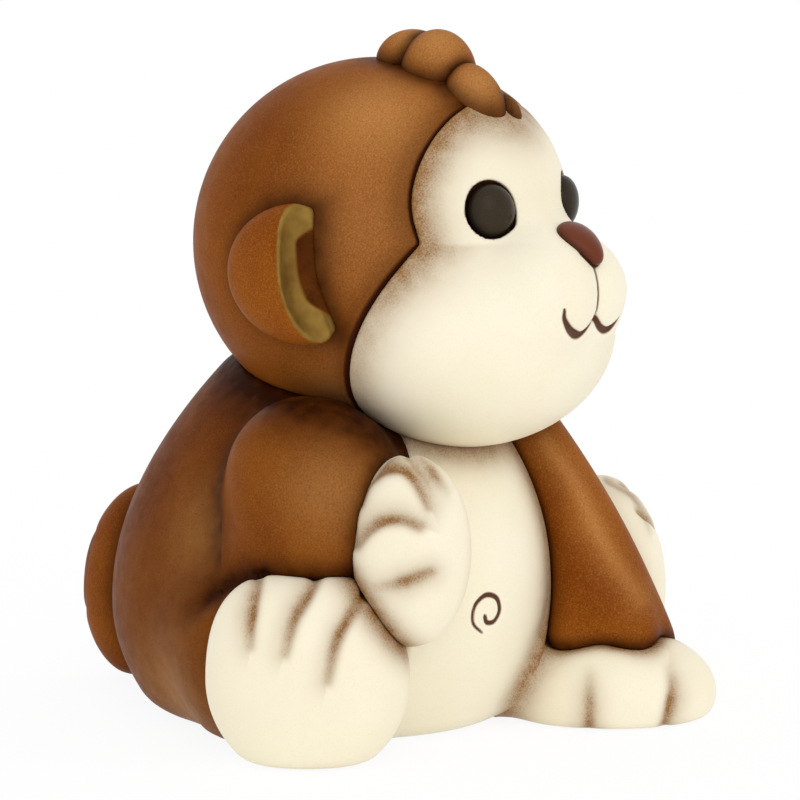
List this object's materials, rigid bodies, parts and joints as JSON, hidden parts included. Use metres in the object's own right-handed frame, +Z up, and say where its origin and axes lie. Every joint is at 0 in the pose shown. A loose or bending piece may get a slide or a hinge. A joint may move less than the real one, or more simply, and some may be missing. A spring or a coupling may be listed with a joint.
{
  "type": "monkey figurine",
  "caption": "Hollow glazed ceramic baby monkey that sits with one hand raised and the other on the floor; a shelf ornament that rests on its flat base.",
  "frame": {"origin": "middle of the torso, on the flat base that the figure rests on", "axes": "+Z up; -Y is the way the body faces; +X is the monkey's left side"},
  "size_m": [0.1192, 0.1235, 0.1343],
  "materials": {
    "brown_glaze": "satin",
    "cream_glaze": "satin",
    "dark_glaze": "gloss",
    "red_glaze": "gloss"
  },
  "bodies": {
    "root": {"head_shell": "brown_glaze", "ear_right": "brown_glaze", "ear_left": "brown_glaze", "hair_curl_back": "brown_glaze", "hair_curl_top": "brown_glaze", "hair_curl_front": "brown_glaze", "hair_curl_side": "brown_glaze", "body_shell": "brown_glaze", "tail": "brown_glaze", "arm_right": "brown_glaze", "arm_left": "brown_glaze", "leg_right": "brown_glaze", "leg_left": "brown_glaze", "face_mask": "cream_glaze", "belly_panel": "cream_glaze", "hand_right": "cream_glaze", "hand_left": "cream_glaze", "foot_right": "cream_glaze", "foot_left": "cream_glaze", "eye_right": "dark_glaze", "eye_left": "dark_glaze", "nose": "red_glaze"}
  },
  "joints": []
}
